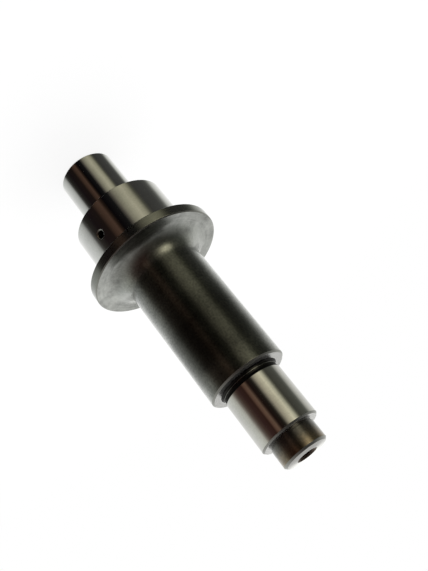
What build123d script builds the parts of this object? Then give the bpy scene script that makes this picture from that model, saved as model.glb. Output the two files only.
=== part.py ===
from build123d import *
import math
import os

# Stepped shaft: one steel turning, turned and then ground on its seats. The axis is +Z, the rear end face
# lies on Z = 0 and the nose points up. Sizes in millimetres.

# Diameter and length of each step, from the rear end up
rear_journal_dia = 30.0
rear_journal_length = 34.5
collar_dia = 50.0
collar_length = 30.0
flange_dia = 70.0
flange_thickness = 5.5
barrel_dia = 40.0
barrel_length = 77.0
front_journal_dia = 30.0
front_journal_length = 31.0
nose_dia = 23.0
nose_length = 11.5

# Broken edges and the fillet that carries the flange's load into the barrel
journal_chamfer = 1.0
collar_chamfer = 0.4
rim_chamfer = 0.5
barrel_chamfer = 0.8
seat_chamfer = 0.8
nose_chamfer = 1.0
flange_fillet = 10.0

# Grinding undercut at the foot of the front journal: a flat floor, a rounded corner at the shoulder and a
# shallow ramp back up to the seat, so the wheel can run out
undercut_width = 3.8
undercut_depth = 0.5
undercut_corner = 1.0
undercut_ramp_angle = 20.0

# Narrow tool groove at the foot of the nose
nose_groove_width = 1.2
nose_groove_depth = 0.5

# Blind bore in the nose, with a countersunk mouth and a drill point
bore_dia = 8.5
bore_depth = 25.0
bore_mouth_dia = 10.5
bore_mouth_angle = 90.0
drill_point_angle = 118.0

# Centre hole in the rear end, on which the shaft turned while it was ground
centre_pilot_dia = 3.2
centre_mouth_dia = 6.7
centre_depth = 8.0
centre_angle = 60.0

# Radial hole in the middle of the collar, with a broken edge
radial_hole_dia = 4.0
radial_hole_depth = 9.0
radial_hole_chamfer = 0.6
radial_hole_mouth_angle = 90.0

# Levels of the shoulders above the rear end
collar_foot = rear_journal_length
flange_back = collar_foot + collar_length
flange_face = flange_back + flange_thickness
barrel_shoulder = flange_face + barrel_length
nose_shoulder = barrel_shoulder + front_journal_length
nose_end = nose_shoulder + nose_length

# Radii that several features share
barrel_radius = barrel_dia / 2
flange_radius = flange_dia / 2
front_journal_radius = front_journal_dia / 2
nose_radius = nose_dia / 2
undercut_radius = front_journal_radius - undercut_depth
nose_groove_radius = nose_radius - nose_groove_depth

# The fillet always leaves a flat land between itself and the flange's rim
root_fillet = min(flange_fillet, flange_radius - barrel_radius - 2 * rim_chamfer)
undercut_ramp = undercut_depth / math.tan(math.radians(undercut_ramp_angle))


def half_section():
    """Half of the shaft's section in the XZ plane, from the axis out and from the rear end up."""
    rear_radius = rear_journal_dia / 2
    collar_radius = collar_dia / 2
    fillet_level = flange_face + root_fillet
    corner_level = barrel_shoulder + undercut_corner
    undercut_end = barrel_shoulder + undercut_width

    with BuildSketch(Plane.XZ) as section:
        with BuildLine():
            Polyline(
                (0, 0),
                (rear_radius - journal_chamfer, 0),
                (rear_radius, journal_chamfer),
                (rear_radius, collar_foot),
                (collar_radius - collar_chamfer, collar_foot),
                (collar_radius, collar_foot + collar_chamfer),
                (collar_radius, flange_back),
                (flange_radius - rim_chamfer, flange_back),
                (flange_radius, flange_back + rim_chamfer),
                (flange_radius, flange_face - rim_chamfer),
                (flange_radius - rim_chamfer, flange_face),
                (barrel_radius + root_fillet, flange_face),
            )
            CenterArc((barrel_radius + root_fillet, fillet_level), root_fillet, 180, 90)
            Polyline(
                (barrel_radius, fillet_level),
                (barrel_radius, barrel_shoulder - barrel_chamfer),
                (barrel_radius - barrel_chamfer, barrel_shoulder),
                (undercut_radius + undercut_corner, barrel_shoulder),
            )
            CenterArc((undercut_radius + undercut_corner, corner_level), undercut_corner, 180, 90)
            Polyline(
                (undercut_radius, corner_level),
                (undercut_radius, undercut_end - undercut_ramp),
                (front_journal_radius, undercut_end),
                (front_journal_radius, nose_shoulder - seat_chamfer),
                (front_journal_radius - seat_chamfer, nose_shoulder),
                (nose_groove_radius, nose_shoulder),
                (nose_groove_radius, nose_shoulder + nose_groove_width),
                (nose_radius, nose_shoulder + nose_groove_width),
                (nose_radius, nose_end - nose_chamfer),
                (nose_radius - nose_chamfer, nose_end),
                (0, nose_end),
                (0, 0),
            )
        make_face()
    return section.sketch


def drilled_hole(hole_dia, depth, mouth_dia, mouth_angle):
    """Solid to cut: a drilled hole going down from Z = 0 with a conical mouth and a drill point."""
    hole_radius = hole_dia / 2
    mouth_radius = mouth_dia / 2
    mouth_depth = (mouth_radius - hole_radius) / math.tan(math.radians(mouth_angle / 2))
    point_depth = hole_radius / math.tan(math.radians(drill_point_angle / 2))
    # the mouth's cone runs on above Z = 0, so that it also clears a rounded surface
    clear_radius = mouth_radius + (mouth_radius - hole_radius)

    with BuildPart() as cut:
        with BuildSketch(Plane.XZ):
            with BuildLine():
                Polyline(
                    (0, mouth_depth),
                    (clear_radius, mouth_depth),
                    (hole_radius, -mouth_depth),
                    (hole_radius, -depth),
                    (0, -depth - point_depth),
                    (0, mouth_depth),
                )
            make_face()
        revolve(axis=Axis.Z)
    return cut.part


def stepped_shaft():
    """The turned body with its nose bore, rear centre hole and the collar's radial hole cut out."""
    body = revolve(half_section(), axis=Axis.Z)

    nose_bore = drilled_hole(bore_dia, bore_depth, bore_mouth_dia, bore_mouth_angle)
    body -= Pos(0, 0, nose_end) * nose_bore

    rear_centre = drilled_hole(centre_pilot_dia, centre_depth, centre_mouth_dia, centre_angle)
    body -= Rot(180, 0, 0) * rear_centre

    # the radial hole goes in from -Y, half way along the collar
    hole_level = collar_foot + collar_length / 2
    hole_mouth_dia = radial_hole_dia + 2 * radial_hole_chamfer
    radial_hole = drilled_hole(
        radial_hole_dia, radial_hole_depth, hole_mouth_dia, radial_hole_mouth_angle
    )
    body -= Pos(0, -collar_dia / 2, hole_level) * Rot(90, 0, 0) * radial_hole
    return body


os.makedirs("parts", exist_ok=True)
shaft = stepped_shaft()
shaft.label = "shaft"
export_step(shaft, "parts/shaft.step")
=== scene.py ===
import math
import bpy
import numpy as np
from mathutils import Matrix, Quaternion, Vector


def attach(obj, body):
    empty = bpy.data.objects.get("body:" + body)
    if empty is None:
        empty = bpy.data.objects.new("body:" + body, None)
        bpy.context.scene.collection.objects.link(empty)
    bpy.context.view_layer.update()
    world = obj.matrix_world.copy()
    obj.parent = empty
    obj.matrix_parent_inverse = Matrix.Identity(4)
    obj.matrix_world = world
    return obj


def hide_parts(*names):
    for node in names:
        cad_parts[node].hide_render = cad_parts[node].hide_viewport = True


# Stepped shaft: one steel turning with ground seats, standing on its rear end.
# The axis is +Z, the nose points up, and the small hole in the collar looks along -Y.

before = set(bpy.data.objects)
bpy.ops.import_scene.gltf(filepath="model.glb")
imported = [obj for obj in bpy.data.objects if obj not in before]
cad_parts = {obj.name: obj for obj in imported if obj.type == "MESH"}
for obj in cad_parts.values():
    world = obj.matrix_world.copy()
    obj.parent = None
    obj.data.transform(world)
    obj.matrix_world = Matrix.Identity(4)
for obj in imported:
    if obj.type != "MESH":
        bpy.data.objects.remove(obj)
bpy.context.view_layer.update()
print("frame loaded")

mm = 0.001
scene = bpy.context.scene
scene.view_settings.view_transform = "Standard"


class Wire:
    # an output socket of a node tree: + - * / on it add Math nodes
    def __init__(self, tree, socket):
        self.tree, self.socket = tree, socket

    def math(self, operation, *others, flip=False, clamp=False):
        node = self.tree.nodes.new("ShaderNodeMath")
        node.operation, node.use_clamp = operation, clamp
        values = [*others, self] if flip else [self, *others]
        for slot, value in zip(node.inputs, values):
            plug(self.tree, slot, value)
        return Wire(self.tree, node.outputs[0])

    def __add__(self, other): return self.math("ADD", other)
    def __sub__(self, other): return self.math("SUBTRACT", other)
    def __mul__(self, other): return self.math("MULTIPLY", other)
    def __truediv__(self, other): return self.math("DIVIDE", other)
    def __rsub__(self, other): return self.math("SUBTRACT", other, flip=True)
    def __rtruediv__(self, other): return self.math("DIVIDE", other, flip=True)
    __radd__ = __add__
    __rmul__ = __mul__


def plug(tree, slot, value):
    # a wire is linked; a number or a colour is written on the socket, a colour with full alpha
    if isinstance(value, Wire):
        tree.links.new(value.socket, slot)
    elif slot.type == "RGBA":
        slot.default_value = (*value, 1.0)
    else:
        slot.default_value = value


class Shader:
    # the node tree of a material or world, emptied first
    def __init__(self, owner):
        owner.use_nodes = True
        self.tree = owner.node_tree
        self.tree.nodes.clear()

    def node(self, kind, settings=None, **sockets):
        # settings go on the node first, a ramp's stops among them, then its sockets get their
        # values or wires; the answer gives an output by name or number, or the first one
        made = self.tree.nodes.new(kind)
        for name, value in (settings or {}).items():
            if name == "stops":
                fillRamp(made.color_ramp, value)
            else:
                setattr(made, name, value)
        for name, value in sockets.items():
            plug(self.tree, socketOf(made.inputs, name), value)
        return lambda name=None: Wire(self.tree, made.outputs[name or 0])

    def mixColour(self, share, first, second, blend="MIX"):
        # first * (1 - share) + second * share, or first + second * share with "ADD"
        settings = {"data_type": "RGBA", "blend_type": blend}
        return self.node("ShaderNodeMix", settings, in0=share, in6=first, in7=second)(2)


def socketOf(inputs, name):
    # "baseColor" finds "Base Color"; "in1" finds the socket numbered 1
    if name.startswith("in") and name[2:].isdigit():
        return inputs[int(name[2:])]
    return next(slot for slot in inputs
                if slot.enabled and slot.name.replace(" ", "").lower() == name.lower())


def fillRamp(ramp, stops):
    # stops are (place, colour) rows
    while len(ramp.elements) > 1:
        ramp.elements.remove(ramp.elements[-1])
    for index, (place, colour) in enumerate(stops):
        element = ramp.elements[0] if index == 0 else ramp.elements.new(place)
        element.position, element.color = place, (*colour, 1.0)


def smooth(value, low, high):
    # 3 t^2 - 2 t^3, where t runs from 0 at low to 1 at high and stays there
    share = ((value - low) / (high - low)).math("ADD", 0.0, clamp=True)
    return share * share * (3.0 - share * 2.0)


cameraLook = {           # metres, and millimetres for the lens
    "place": (-0.167213, -0.274610, 0.245348),
    "aim": (-0.013257, 0.007242, 0.098971),
    "roll": 140.775,     # degrees about the line of sight
    "lens": 45.934,
}


def addCamera(look):
    # the camera looks from place to aim, then turns about its own line of sight by roll
    data = bpy.data.cameras.new("camera")
    data.lens = look["lens"]
    data.clip_start, data.clip_end = 0.01, 20.0
    camera = bpy.data.objects.new("camera", data)
    scene.collection.objects.link(camera)
    sight = Vector(look["aim"]) - Vector(look["place"])
    turn = Quaternion((0.0, 0.0, 1.0), math.radians(look["roll"]))
    camera.rotation_mode = "QUATERNION"
    camera.rotation_quaternion = sight.to_track_quat("-Z", "Y") @ turn
    camera.location = look["place"]
    scene.camera = camera


addCamera(cameraLook)
print("camera placed")


# What stands round the shaft and shows in the steel: pale behind it, dark before it, and one warm
# pale sheet about 45 degrees to the side. Each row of a band is (degrees from the front side, linear
# colour), and a band takes over from the one before where the sine of the height passes its rise.
# The rows of low and level aren't chosen by hand: most are rounded from tones that a program measured.
frontSide = -121.3      # degrees from +X
surround = {
    "low": {"colours": [
        (-180, (1.06, 1.06, 1.05)), (-152, (1.07, 1.08, 1.06)), (-138, (0.95, 0.97, 0.94)),
        (-128, (0.72, 0.74, 0.70)), (-119, (0.26, 0.27, 0.25)), (-112, (0.115, 0.12, 0.11)),
        (-100, (0.082, 0.084, 0.080)), (-72, (0.064, 0.064, 0.060)), (-65, (0.12, 0.12, 0.09)),
        (-55, (0.48, 0.47, 0.34)), (-43, (0.64, 0.62, 0.46)), (-31, (0.47, 0.46, 0.34)),
        (-21, (0.29, 0.28, 0.21)), (-15, (0.12, 0.11, 0.09)), (-9, (0.012, 0.012, 0.012)),
        (8, (0.004, 0.003, 0.004)), (14, (0.030, 0.018, 0.012)), (20, (0.105, 0.062, 0.043)),
        (30, (0.075, 0.044, 0.030)), (39, (0.018, 0.012, 0.010)), (60, (0.014, 0.010, 0.011)),
        (76, (0.032, 0.030, 0.026)), (84, (0.10, 0.10, 0.095)), (91, (0.50, 0.52, 0.50)),
        (100, (0.73, 0.76, 0.74)), (115, (0.90, 0.94, 0.92)), (134, (1.02, 1.05, 1.04)),
        (154, (1.09, 1.10, 1.09)), (180, (1.06, 1.06, 1.05))]},
    "level": {"rise": (-0.58, -0.24), "colours": [
        (-180, (1.02, 1.02, 1.00)), (-138, (0.94, 0.95, 0.91)), (-122, (0.77, 0.78, 0.72)),
        (-112, (0.48, 0.49, 0.44)), (-104, (0.18, 0.19, 0.165)), (-95, (0.115, 0.12, 0.10)),
        (-66, (0.076, 0.076, 0.060)), (-60, (0.19, 0.19, 0.14)), (-51, (0.68, 0.67, 0.50)),
        (-42, (0.97, 0.93, 0.69)), (-34, (0.80, 0.76, 0.56)), (-21, (0.52, 0.48, 0.36)),
        (-15, (0.26, 0.24, 0.18)), (-9, (0.050, 0.044, 0.032)), (-4, (0.020, 0.016, 0.012)),
        (9, (0.019, 0.010, 0.008)), (14, (0.080, 0.048, 0.033)), (19, (0.19, 0.120, 0.082)),
        (27, (0.155, 0.088, 0.060)), (34, (0.045, 0.021, 0.015)), (50, (0.055, 0.028, 0.024)),
        (62, (0.095, 0.061, 0.048)), (71, (0.17, 0.137, 0.115)), (78, (0.34, 0.31, 0.27)),
        (86, (0.67, 0.67, 0.60)), (94, (0.79, 0.81, 0.74)), (112, (0.92, 0.95, 0.89)),
        (135, (1.00, 1.02, 0.99)), (180, (1.02, 1.02, 1.00))]},
    "high": {"rise": (0.12, 0.66), "colours": [
        (-180, (1.05, 1.05, 1.03)), (-154, (0.92, 0.92, 0.90)), (-134, (0.62, 0.63, 0.60)),
        (-117, (0.36, 0.36, 0.34)), (-103, (0.17, 0.17, 0.16)), (-88, (0.085, 0.085, 0.078)),
        (-66, (0.050, 0.050, 0.042)), (-10, (0.038, 0.034, 0.030)), (0, (0.028, 0.020, 0.018)),
        (22, (0.044, 0.018, 0.017)), (45, (0.085, 0.052, 0.044)), (60, (0.14, 0.112, 0.096)),
        (84, (0.32, 0.31, 0.285)), (103, (0.54, 0.54, 0.505)), (128, (0.84, 0.84, 0.81)),
        (154, (1.00, 1.00, 0.98)), (180, (1.05, 1.05, 1.03))]},
    "top": {"rise": (0.68, 0.90), "colours": [
        (-180, (0.13, 0.13, 0.12)), (-121, (0.26, 0.26, 0.25)), (-69, (0.075, 0.072, 0.064)),
        (-30, (0.070, 0.066, 0.054)), (0, (0.062, 0.050, 0.044)), (41, (0.12, 0.100, 0.090)),
        (69, (0.22, 0.20, 0.185)), (121, (0.50, 0.49, 0.47)), (180, (0.13, 0.13, 0.12))]},
}
glows = [       # round lights among them: degrees from the front side and above level; span is the
    # cosine of the angle from the light's middle, where it fades in and where it is full
    {"turn": -43, "rise": 7, "span": (0.940, 0.990), "colour": (1.30, 1.20, 0.88)},
    {"turn": 180, "rise": 0, "span": (0.966, 0.998), "colour": (1.0, 1.0, 0.97)},
]
studio = {
    "floorSize": 6.0, "floorColour": (0.80, 0.80, 0.80),
    "floorLift": 0.88,              # share of plain white that the camera sees near the shaft
    "floorFade": (0.12, 0.45),      # distance over which that share rises to the whole
    "lampPlace": (0.25, 0.35, 1.1), "lampAim": (0.0, 0.0, 0.09), "lampSize": 0.9, "lampPower": 9.0,
    "white": (1.0, 1.0, 1.0),
}


def addWorld(bands, lights, front, look):
    # gloss sees the surround by direction: atan2 of the two level parts picks a colour in each band,
    # the upward part blends the bands, and each light adds its colour near its own direction;
    # everything but gloss sees plain white
    world = bpy.data.worlds.new("studio")
    world.cycles.sampling_method = "NONE"     # every surface meets the surround by its own gloss
    scene.world = world
    shade = Shader(world)
    way = shade.node("ShaderNodeSeparateXYZ", vector=shade.node("ShaderNodeTexCoord")("Generated"))
    cosFront, sinFront = math.cos(math.radians(front)), math.sin(math.radians(front))
    ahead = way("X") * cosFront + way("Y") * sinFront
    aside = way("Y") * cosFront - way("X") * sinFront
    turn = aside.math("ARCTAN2", ahead) / (2 * math.pi) + 0.5
    for band in bands.values():
        stops = [(0.5 + degrees / 360, colour) for degrees, colour in band["colours"]]
        colour = shade.node("ShaderNodeValToRGB", {"stops": stops}, fac=turn)("Color")
        if "rise" in band:
            colour = shade.mixColour(smooth(way("Z"), *band["rise"]), seen, colour)
        seen = colour
    for light in lights:
        side, rise = math.radians(light["turn"]), math.radians(light["rise"])
        facing = (ahead * (math.cos(side) * math.cos(rise))
                  + aside * (math.sin(side) * math.cos(rise)) + way("Z") * math.sin(rise))
        seen = shade.mixColour(smooth(facing, *light["span"]), seen, light["colour"], "ADD")
    plain = shade.node("ShaderNodeBackground", color=look["white"], strength=1.0)()
    around = shade.node("ShaderNodeBackground", color=seen, strength=1.0)()
    gloss = shade.node("ShaderNodeLightPath")("Is Glossy Ray")
    both = shade.node("ShaderNodeMixShader", in0=gloss, in1=plain, in2=around)()
    shade.node("ShaderNodeOutputWorld", surface=both)


def addFloor(look):
    # a pale plane through the rear end, which turns plain white away from the shaft; gloss looks
    # through it at the surround
    half = look["floorSize"] / 2
    mesh = bpy.data.meshes.new("floor")
    corners = [(-half, -half, 0), (half, -half, 0), (half, half, 0), (-half, half, 0)]
    mesh.from_pydata(corners, [], [(0, 1, 2, 3)])
    floor = bpy.data.objects.new("floor", mesh)
    scene.collection.objects.link(floor)
    material = bpy.data.materials.new("paleFloor")
    material.cycles.emission_sampling = "NONE"
    shade = Shader(material)
    rays = shade.node("ShaderNodeLightPath")
    place = shade.node("ShaderNodeTexCoord")("Object")
    away = shade.node("ShaderNodeVectorMath", {"operation": "LENGTH"}, in0=place)("Value")
    whiteness = look["floorLift"] + smooth(away, *look["floorFade"]) * (1.0 - look["floorLift"])
    diffuse = shade.node("ShaderNodeBsdfDiffuse", color=look["floorColour"])()
    white = shade.node("ShaderNodeEmission", color=look["white"], strength=1.0)()
    clear = shade.node("ShaderNodeBsdfTransparent")()
    seen = rays("Is Camera Ray").math("MAXIMUM", rays("Is Transmission Ray"))
    lifted = shade.node("ShaderNodeMixShader", in0=seen * whiteness, in1=diffuse, in2=white)()
    final = shade.node("ShaderNodeMixShader", in0=rays("Is Glossy Ray"), in1=lifted, in2=clear)()
    shade.node("ShaderNodeOutputMaterial", surface=final)
    mesh.materials.append(material)


def addLamp(look):
    # one square soft lamp high behind the shaft, for the floor's shadow; it doesn't show in gloss
    data = bpy.data.lights.new("overheadLamp", "AREA")
    data.shape, data.size, data.energy = "SQUARE", look["lampSize"], look["lampPower"]
    lamp = bpy.data.objects.new("overheadLamp", data)
    scene.collection.objects.link(lamp)
    lamp.location = look["lampPlace"]
    lamp.rotation_mode = "QUATERNION"
    sight = Vector(look["lampAim"]) - Vector(look["lampPlace"])
    lamp.rotation_quaternion = sight.to_track_quat("-Z", "Y")
    lamp.visible_glossy = False


addWorld(surround, glows, frontSide, studio)
addFloor(studio)
addLamp(studio)
print("studio built")


# Steel, one finish for each way a surface was made, and a near-black one that is painted shade.
# Lines are per metre of height or radius, wave and line are heights of the bump in metres, and
# mottle, streak and grain are shares of the tone. Coat is the weight of an oily film, with its own
# index and roughness, and edge is a painted sheen, what the tone gains where the surface is seen
# edge-on. "into" is a second tone that the finish turns into from one level to another. A shade
# patch is painted shade that takes its depth off the tone and the coat: span is the cosine from
# its own side and reach the metres from its level, each from where it starts to where it is full.
finishes = {
    "groundSeat": {
        "colour": (0.50, 0.49, 0.475), "metal": 1.0, "rough": 0.07, "coat": 0.0, "tint": 1.0,
        "lines": 2600.0, "streak": 0.05, "mottle": 0.16, "grain": 0.06, "wave": 8e-6, "line": 6e-8},
    "satinBarrel": {
        "colour": (0.031, 0.032, 0.022), "metal": 0.90, "rough": 0.30,
        # edge is a painted sheen towards the outline
        "coat": 0.95, "coatIOR": 1.62, "coatRough": 0.17, "edge": 0.30, "tint": 1.0,
        "lines": 900.0, "streak": 0.25, "mottle": 0.60, "grain": 0.52, "wave": 2e-5, "line": 2e-7,
        "into": {"colour": (0.285, 0.292, 0.275), "rough": 0.285, "mottle": 0.95, "grain": 0.12,
                 "coat": 0.4, "from": 0.0815, "to": 0.0712},
        # painted shade: two darker patches on the barrel's front side, with less tone and less coat
        "stains": [
            {"depth": 0.36, "turn": -8.0, "span": (0.30, 0.75), "level": 0.1205,
             "reach": (0.023, 0.011)},
            {"depth": 0.36, "turn": 40.0, "span": (0.80, 0.93), "level": 0.1245,
             "reach": (0.016, 0.009)}]},
    "greyRim": {
        "colour": (0.185, 0.185, 0.168), "metal": 0.985, "rough": 0.16, "coat": 0.0, "tint": 1.0,
        "lines": 900.0, "streak": 0.12, "mottle": 0.25, "grain": 0.08, "wave": 1e-5, "line": 1e-7},
    "brokenEdge": {
        "colour": (0.26, 0.26, 0.245), "metal": 0.975, "rough": 0.285, "coat": 0.0, "tint": 1.0,
        "lines": 1500.0, "streak": 0.10, "mottle": 0.20, "grain": 0.05, "wave": 5e-6, "line": 1e-7},
    "turnedFace": {
        "colour": (0.35, 0.35, 0.34), "metal": 0.94, "rough": 0.30, "coat": 0.0, "tint": 1.0,
        "lines": 1500.0, "streak": 0.14, "mottle": 0.25, "grain": 0.08, "wave": 1e-5, "line": 2e-7},
    "noseEnd": {
        "colour": (0.24, 0.235, 0.222), "metal": 1.0, "rough": 0.16, "coat": 0.0, "tint": 0.85,
        "lines": 1500.0, "streak": 0.10, "mottle": 0.15, "grain": 0.06, "wave": 8e-6, "line": 1e-7},
    "brownNose": {
        "colour": (0.028, 0.023, 0.017), "metal": 0.84, "rough": 0.285,
        "coat": 1.0, "coatIOR": 1.60, "coatRough": 0.17, "tint": 1.0,
        "lines": 900.0, "streak": 0.12, "mottle": 0.50, "grain": 0.35, "wave": 1.5e-5, "line": 1e-7,
        "into": {"colour": (0.19, 0.145, 0.095), "rough": 0.285, "mottle": 0.70, "grain": 0.15,
                 "coat": 0.6, "from": 0.1800, "to": 0.1900}},
    "drilledHole": {
        "colour": (0.090, 0.068, 0.055), "metal": 1.0, "rough": 0.35, "coat": 0.0, "tint": 1.0,
        "lines": 1200.0, "streak": 0.30, "mottle": 0.30, "grain": 0.10, "wave": 1e-5, "line": 5e-7},
    # painted shade: near-black steel for the undercut and the chamfers that face down to the floor
    "darkCorner": {
        "colour": (0.018, 0.017, 0.016), "metal": 0.95, "rough": 0.30, "coat": 0.1, "tint": 0.5,
        "lines": 2000.0, "streak": 0.20, "mottle": 0.20, "grain": 0.10, "wave": 1e-5, "line": 3e-7},
}
ground, satin, rimmed, edged, faced, noseFaced, brown, drilled, dark = range(len(finishes))
steelNoise = {
    "across": 60.0,                         # lines per metre round the axis
    "clouds": 110.0, "cloudDetail": 4.0, "cloudRoughness": 0.62, "specks": 1100.0,    # per metre
    "swing": 2.0,                           # a noise less its middle runs from -0.5 to 0.5
    "wander": 0.006,                        # metres by which a change of tone follows the clouds
    "coatMottle": 0.8, "coatGrain": 1.4,    # shares of mottle and grain that the coat's weight gets
    "roughMottle": 0.08, "roughStreak": 0.06,    # shares of mottle and streak that roughness gets
    "leastRough": 0.03,
}


def steel(name, look, noise):
    # tone = 1 + mottle * clouds + streak * lines + grain * specks, each a noise about 0: lines are
    # fine along radius + height and coarse round the axis, clouds are 9 mm across with finer ones
    # in them, and specks are 0.9 mm across
    material = bpy.data.materials.new(name)
    shade = Shader(material)
    place = shade.node("ShaderNodeTexCoord")("Object")
    parts = shade.node("ShaderNodeSeparateXYZ", vector=place)
    x, y, z = parts("X"), parts("Y"), parts("Z")
    run = shade.node("ShaderNodeCombineXYZ", x=x * noise["across"], y=y * noise["across"],
                     z=(z + (x * x + y * y).math("SQRT")) * look["lines"])()
    kind = "ShaderNodeTexNoise"
    lines = shade.node(kind, vector=run, scale=1.0, detail=1.0)("Fac") - 0.5
    clouds = shade.node(kind, vector=place, scale=noise["clouds"], detail=noise["cloudDetail"],
                        roughness=noise["cloudRoughness"])("Fac") - 0.5
    specks = shade.node(kind, vector=place, scale=noise["specks"], detail=0.0)("Fac") - 0.5
    colour, rough, metal = look["colour"], look["rough"], look["metal"]
    mottle, grain, coatWeight = look["mottle"], look["grain"], look["coat"]
    if "into" in look:
        into = look["into"]
        share = smooth(z + clouds * noise["wander"], into["from"], into["to"])
        colour = shade.mixColour(share, colour, into["colour"])
        rough = share * (into["rough"] - rough) + rough
        metal = 1.0 - (1.0 - share) * (1.0 - share) * (1.0 - metal)
        mottle = share * (into["mottle"] - mottle) + mottle
        grain = share * (into["grain"] - grain) + grain
        coatWeight = share * (into["coat"] - coatWeight) + coatWeight
    swing = noise["swing"]
    tone = clouds * mottle * swing + lines * look["streak"] * swing + specks * grain * swing + 1.0
    if look["coat"] > 0.0:
        uneven = clouds * mottle * noise["coatMottle"] + specks * grain * noise["coatGrain"] + 1.0
        coatWeight = uneven * coatWeight
    # painted shade: each patch darkens the tone and the coat round its own side and level
    for shadePatch in look.get("stains", []):
        side = math.radians(frontSide + shadePatch["turn"])
        facing = (x * math.cos(side) + y * math.sin(side)) / (x * x + y * y).math("SQRT")
        level = (z + clouds * noise["wander"] - shadePatch["level"]).math("ABSOLUTE")
        shadeLoss = smooth(facing, *shadePatch["span"]) * smooth(level, *shadePatch["reach"]) * shadePatch["depth"]
        tone, coatWeight = tone * (1.0 - shadeLoss), coatWeight * (1.0 - shadeLoss)
    if "edge" in look:
        # painted sheen: colour + edge * facing^3, lighter where the surface is seen edge-on,
        # on the part that hasn't turned into the second tone
        facing = shade.node("ShaderNodeLayerWeight", blend=0.5)("Facing")
        paintedSheen = facing * facing * facing * (1.0 - share) * look["edge"]
        colour = shade.node("ShaderNodeVectorMath", {"operation": "ADD"}, in0=colour, in1=paintedSheen)()
    toned = shade.node("ShaderNodeVectorMath", {"operation": "SCALE"}, in0=colour, scale=tone)()
    rough = (clouds * (look["mottle"] * noise["roughMottle"])
             + lines * (look["streak"] * noise["roughStreak"]) + 1.0) * rough
    height = clouds * look["wave"] + lines * look["line"]
    bump = shade.node("ShaderNodeBump", strength=1.0, distance=1.0, height=height)("Normal")
    coat = {"coatWeight": coatWeight, "coatIOR": look.get("coatIOR", 1.5),
            "coatRoughness": look.get("coatRough", look["rough"])}
    base = shade.node("ShaderNodeBsdfPrincipled", baseColor=toned, metallic=metal,
                      roughness=rough.math("MAXIMUM", noise["leastRough"]),
                      specularTint=[look["tint"]] * 3, normal=bump, **coat)()
    shade.node("ShaderNodeOutputMaterial", surface=base)
    return material


shaftSizes = {      # millimetres and degrees
    "rearJournalDia": 30.0, "rearJournalLength": 34.5,
    "collarDia": 50.0, "collarLength": 30.0,
    "flangeDia": 70.0, "flangeThickness": 5.5,
    "barrelDia": 40.0, "barrelLength": 77.0,
    "frontJournalDia": 30.0, "frontJournalLength": 31.0,
    "noseDia": 23.0, "noseLength": 11.5, "noseCrown": 4.0,
    "journalChamfer": 1.0, "collarChamfer": 0.4, "rimChamfer": 0.5,
    "barrelChamfer": 0.8, "seatChamfer": 0.8, "noseChamfer": 1.0,
    "rootFillet": 10.0,
    "undercutWidth": 3.8, "undercutDepth": 0.5, "undercutCorner": 1.0, "undercutRampAngle": 20.0,
    "undercutRampFoot": 0.3,         # rounding where the floor meets the ramp
    "ridgePlace": 1.2, "ridgeHeight": 0.14, "ridgeWidth": 0.22, "ridgeCrest": 0.04,    # a tool mark
    "noseGrooveWidth": 1.2, "noseGrooveDepth": 0.5,
    "boreDia": 8.5, "boreDepth": 25.0, "boreMouthDia": 10.5,
    "centrePilotDia": 3.2, "centreMouthDia": 6.7, "centreDepth": 8.0, "centreAngle": 60.0,
    "drillPointAngle": 118.0,
    "sideHoleDia": 4.0, "sideHoleDepth": 9.0, "sideHoleChamfer": 0.6,
    "edge": 0.12,            # rounding that is left on every sharp corner
}
shaftLay = {     # how finely the surface is laid out
    "around": 240, "edgeSteps": 4, "filletSteps": 28,
    "filletFrom": 5.0,       # radius in millimetres from which a corner gets the fillet's steps
    "guard": 0.18, "holeGuard": 0.1,    # lengths in millimetres beside a corner that keep it crisp
    "patchCells": 16, "patchRings": 7, "lastRing": 0.975,
    "tipRadius": 0.3, "tipRise": 0.2,    # last ring of the side hole, short of its drill point
    "same": 1e-6,            # millimetres within which two places are one
}


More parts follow.
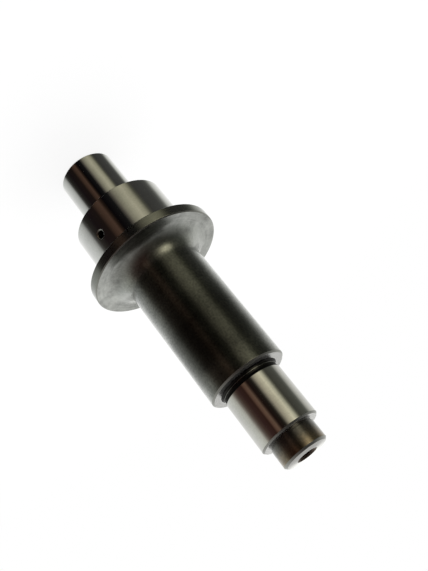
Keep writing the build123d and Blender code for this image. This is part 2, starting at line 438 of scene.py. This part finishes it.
def shaftSection(s, lay):
    # corners of half the section as rows of radius, level, rounding, finish of the run that leaves the
    # corner and number of parts of that run, from the rear centre's point round to the bore's point
    edge = s["edge"]
    innerEdge, backEdge = edge / 2, edge / 3
    collarFoot = s["rearJournalLength"]
    flangeBack = collarFoot + s["collarLength"]
    flangeFace = flangeBack + s["flangeThickness"]
    shoulder = flangeFace + s["barrelLength"]
    noseFoot = shoulder + s["frontJournalLength"]
    noseEnd = noseFoot + s["noseLength"]
    rearR, collarR, flangeR = s["rearJournalDia"] / 2, s["collarDia"] / 2, s["flangeDia"] / 2
    barrelR, frontR, noseR = s["barrelDia"] / 2, s["frontJournalDia"] / 2, s["noseDia"] / 2
    underR, grooveR = frontR - s["undercutDepth"], noseR - s["noseGrooveDepth"]
    ramp = s["undercutDepth"] / math.tan(math.radians(s["undercutRampAngle"]))
    underEnd = shoulder + s["undercutWidth"]
    ridge = shoulder + s["ridgePlace"]
    boreR, mouthR = s["boreDia"] / 2, s["boreMouthDia"] / 2
    endR = noseR - s["noseChamfer"]
    crown = (endR - mouthR) * math.tan(math.radians(s["noseCrown"]))
    pilotR, centreR = s["centrePilotDia"] / 2, s["centreMouthDia"] / 2
    point = math.tan(math.radians(s["drillPointAngle"] / 2))
    centreCone = (centreR - pilotR) / math.tan(math.radians(s["centreAngle"] / 2))
    grooveTop = noseFoot + s["noseGrooveWidth"]
    boreFoot = noseEnd - s["boreDepth"]
    sideLevel, sideReach = patchPlace(s, lay)
    return np.array([
        (0, s["centreDepth"] + pilotR / point, 0, drilled, 1),
        (pilotR, s["centreDepth"], 0, drilled, 1),
        (pilotR, centreCone, edge, drilled, 1),
        (centreR, 0, edge, faced, 2),
        (rearR - s["journalChamfer"], 0, edge, edged, 1),
        (rearR, s["journalChamfer"], edge, ground, 8),
        (rearR, collarFoot, innerEdge, faced, 3),
        # the collar's back chamfer takes the near-black finish, painted shade
        (collarR - s["collarChamfer"], collarFoot, edge, dark, 1),
        (collarR, collarFoot + s["collarChamfer"], backEdge, ground, 3),
        (collarR, sideLevel - sideReach, 0, ground, lay["patchCells"]),
        (collarR, sideLevel + sideReach, 0, ground, 3),
        (collarR, flangeBack, innerEdge, faced, 3),
        # the rim's back chamfer takes the near-black finish, painted shade
        (flangeR - s["rimChamfer"], flangeBack, edge, dark, 1),
        (flangeR, flangeBack + s["rimChamfer"], backEdge, rimmed, 2),
        (flangeR, flangeFace - s["rimChamfer"], edge, edged, 1),
        (flangeR - s["rimChamfer"], flangeFace, edge, satin, 2),
        (barrelR, flangeFace, s["rootFillet"], satin, 18),
        (barrelR, shoulder - s["barrelChamfer"], edge, edged, 1),
        (barrelR - s["barrelChamfer"], shoulder, edge, faced, 2),
        # the undercut takes the near-black finish, painted shade, all but the far flank of the ridge
        (underR, shoulder, s["undercutCorner"], dark, 1),
        (underR, ridge, 0, dark, 1),
        (underR + s["ridgeHeight"], ridge + s["ridgeCrest"], 0, edged, 1),
        (underR, ridge + s["ridgeWidth"], 0, dark, 1),
        (underR, underEnd - ramp, s["undercutRampFoot"], dark, 1),
        (frontR, underEnd, edge, ground, 8),
        (frontR, noseFoot - s["seatChamfer"], edge, edged, 1),
        (frontR - s["seatChamfer"], noseFoot, edge, faced, 1),
        (grooveR, noseFoot, edge, brown, 1),
        (grooveR, grooveTop, edge, brown, 1),
        (noseR, grooveTop, edge, brown, 3),
        (noseR, noseEnd - crown - s["noseChamfer"], edge, edged, 1),
        (endR, noseEnd - crown, edge, noseFaced, 1),
        (mouthR, noseEnd, edge, drilled, 1),
        (boreR, noseEnd - (mouthR - boreR), edge, drilled, 6),
        (boreR, boreFoot, 0, drilled, 1),
        (0, boreFoot - boreR / point, 0, drilled, 1),
    ], dtype=float)


def patchPlace(s, lay):
    # middle level of the side hole's patch, and half its height, which is the length of as many
    # cells round the collar as it has rows
    level = s["rearJournalLength"] + s["collarLength"] / 2
    return level, math.pi * s["collarDia"] / lay["around"] * lay["patchCells"] / 2


def roundedRun(corners, lay):
    # each corner becomes an arc that touches both its runs: from the touching point, the arc goes
    # radius * sin(angle) along the run that comes in and radius * (1 - cos(angle)) to its own side
    place, radius = corners[:, :2], corners[:, 2]
    run = np.diff(place, axis=0)
    run /= np.linalg.norm(run, axis=1, keepdims=True)
    before, after = np.vstack([run[:1], run]), np.vstack([run, run[-1:]])
    cross = before[:, 0] * after[:, 1] - before[:, 1] * after[:, 0]
    turn = np.arctan2(np.abs(cross), (before * after).sum(1))
    side = np.sign(cross)[:, None] * np.stack([-before[:, 1], before[:, 0]], 1)
    start = place - before * (radius * np.tan(turn / 2))[:, None]
    rounded = np.where(radius > 0, lay["edgeSteps"], 0)
    steps = np.where(radius > lay["filletFrom"], lay["filletSteps"], rounded)
    corner = np.repeat(np.arange(len(corners)), steps + 1)
    step = np.arange(len(corner)) - np.cumsum(np.r_[0, steps[:-1] + 1])[corner]
    angle = turn[corner] * step / np.maximum(steps[corner], 1)
    onward = np.sin(angle)[:, None] * before[corner]
    inward = (1 - np.cos(angle))[:, None] * side[corner]
    dots = start[corner] + radius[corner][:, None] * (onward + inward)
    leaves = step == steps[corner]
    parts = np.where(leaves, corners[corner, 4], 1)
    return dots, corners[corner, 3].astype(int), parts.astype(int), leaves


def partedRun(dots, finish, parts, leaves, lay):
    # straight runs are cut into their parts; one that meets a rounded corner first gets a short
    # guard length at each end, so that its shading stays flat
    step = np.diff(dots, axis=0)
    size = np.linalg.norm(step, axis=1)
    short = np.r_[False, ~leaves[:-1]] | np.r_[~leaves[1:], False]
    guarded = leaves[:-1] & (size > 3 * lay["guard"]) & (short[:-1] | short[1:])
    count = np.where(guarded, parts[:-1] + 2, parts[:-1])
    run = np.repeat(np.arange(len(size)), count)
    part = np.arange(len(run)) - np.cumsum(np.r_[0, count[:-1]])[run]
    guard = lay["guard"] / size[run]
    inside = np.where(part == 0, 0, guard + (1 - 2 * guard) * (part - 1) / parts[run])
    share = np.where(guarded[run], inside, part / parts[run])[:, None]
    return np.vstack([dots[run] + share * step[run], dots[-1:]]), finish[run]


def turnedSurface(dots, finish, around):
    # point (i, j) is dot i turned by angle 2 pi j / around about the axis; the first and last dots
    # lie on the axis and are one point each
    ring, count = dots[1:-1], len(dots) - 2
    angle = 2 * np.pi * np.arange(around) / around
    sweep = np.stack([np.outer(ring[:, 0], np.cos(angle)), np.outer(ring[:, 0], np.sin(angle)),
                      np.outer(ring[:, 1], np.ones(around))], -1).reshape(-1, 3)
    points = np.vstack([[0, 0, dots[0, 1]], sweep, [0, 0, dots[-1, 1]]])
    index = 1 + np.arange(count * around).reshape(count, around)
    beside = np.roll(index, -1, axis=1)
    quads = np.stack([index[:-1], beside[:-1], beside[1:], index[1:]], -1)
    firstFan = np.stack([np.zeros(around, int), beside[0], index[0]], -1)
    lastFan = np.stack([index[-1], beside[-1], np.full(around, len(points) - 1)], -1)
    return points, index, quads, np.repeat(finish[1:-1, None], around, 1), firstFan, lastFan


def sideHole(points, loop, s, lay):
    # a patch from the loop of points round it to the hole's mouth, then the hole itself. On the
    # patch, spokes run straight on the unrolled collar; the mouth is where the cone meets the collar
    level = patchPlace(s, lay)[0]
    collarR, holeR, chamfer = s["collarDia"] / 2, s["sideHoleDia"] / 2, s["sideHoleChamfer"]
    rim = points[loop]
    outerS, outerZ = collarR * np.arctan2(rim[:, 0], -rim[:, 1]), rim[:, 2] - level
    spoke = np.arctan2(outerZ, outerS)
    mouth = np.full(len(loop), holeR + chamfer)
    for _ in range(4):       # each pass takes off how far the collar falls away at the last mouth
        mouth = holeR + chamfer - (collarR - np.sqrt(collarR**2 - (mouth * np.cos(spoke)) ** 2))
    mouthS, mouthZ = collarR * np.arcsin(mouth * np.cos(spoke) / collarR), mouth * np.sin(spoke)
    share = np.r_[np.arange(1, lay["patchRings"]) / lay["patchRings"], lay["lastRing"], 1.0][:, None]
    ringS, ringZ = outerS + share * (mouthS - outerS), outerZ + share * (mouthZ - outerZ)
    patch = np.stack([collarR * np.sin(ringS / collarR), -collarR * np.cos(ringS / collarR),
                      level + ringZ], -1)
    depth, guard = s["sideHoleDepth"], lay["holeGuard"]
    tip = depth + holeR / math.tan(math.radians(s["drillPointAngle"] / 2))
    down = np.array([(holeR + guard, chamfer - guard), (holeR, chamfer), (holeR, chamfer + guard),
                     (holeR, depth - guard), (holeR, depth),
                     (lay["tipRadius"], tip - lay["tipRise"])])
    wide, deep = down[:, :1], down[:, 1:]
    bore = np.stack([wide * np.cos(spoke), -collarR + deep + 0 * spoke,
                     level + wide * np.sin(spoke)], -1)
    rings = np.vstack([patch, bore]).reshape(-1, 3)
    index = np.vstack([loop, len(points) + np.arange(len(rings)).reshape(-1, len(loop))])
    beside = np.roll(index, -1, axis=1)
    quads = np.stack([index[:-1], beside[:-1], beside[1:], index[1:]], -1)
    kind = np.repeat([ground, edged, drilled], [len(patch), 1, len(down) - 1])
    kinds = np.repeat(kind[:, None], len(loop), 1)
    tipIndex = len(points) + len(rings)
    fan = np.stack([index[-1], beside[-1], np.full(len(loop), tipIndex)], -1)
    return np.vstack([points, rings, [0, -collarR + tip, level]]), quads, kinds, fan


def buildShaft(s, lay):
    # the turned surface, with a block of its cells on the collar exchanged for the side hole
    dots, finish = partedRun(*roundedRun(shaftSection(s, lay), lay), lay)
    points, index, quads, kinds, firstFan, lastFan = turnedSurface(dots, finish, lay["around"])
    level, reach = patchPlace(s, lay)
    onCollar = np.abs(dots[1:-1, 0] - s["collarDia"] / 2) < lay["same"]
    low = np.flatnonzero(onCollar & (np.abs(dots[1:-1, 1] - (level - reach)) < lay["same"]))[0]
    cells = lay["patchCells"]
    left = round(0.75 * lay["around"]) - cells // 2      # three quarters of a turn is -Y
    block = index[low:low + cells + 1, left:left + cells + 1]
    loop = np.concatenate([block[0, :-1], block[:-1, -1], block[-1, :0:-1], block[:0:-1, 0]])
    keep = np.ones(quads.shape[:2], bool)
    keep[low:low + cells, left:left + cells] = False
    points, holeQuads, holeKinds, holeFan = sideHole(points, loop, s, lay)
    fours = np.vstack([quads[keep], holeQuads.reshape(-1, 4)])
    threes = np.vstack([firstFan, lastFan, holeFan])
    slots = np.concatenate([kinds[keep], holeKinds.ravel(), np.full(len(threes), drilled)])
    mesh = bpy.data.meshes.new("shaftBody")
    mesh.from_pydata(points * mm, [], fours.tolist() + threes.tolist())
    for name, look in finishes.items():
        mesh.materials.append(steel(name, look, steelNoise))
    mesh.polygons.foreach_set("material_index", slots.astype(np.int32))
    mesh.polygons.foreach_set("use_smooth", np.ones(len(slots), bool))
    mesh.update()
    shaft = bpy.data.objects.new("shaftBody", mesh)
    scene.collection.objects.link(shaft)
    print("shaft:", len(points), "points,", 2 * len(fours) + len(threes), "triangles")
    return shaft


shaft = buildShaft(shaftSizes, shaftLay)
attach(shaft, "root")
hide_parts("shaft")
print("shaft finished")
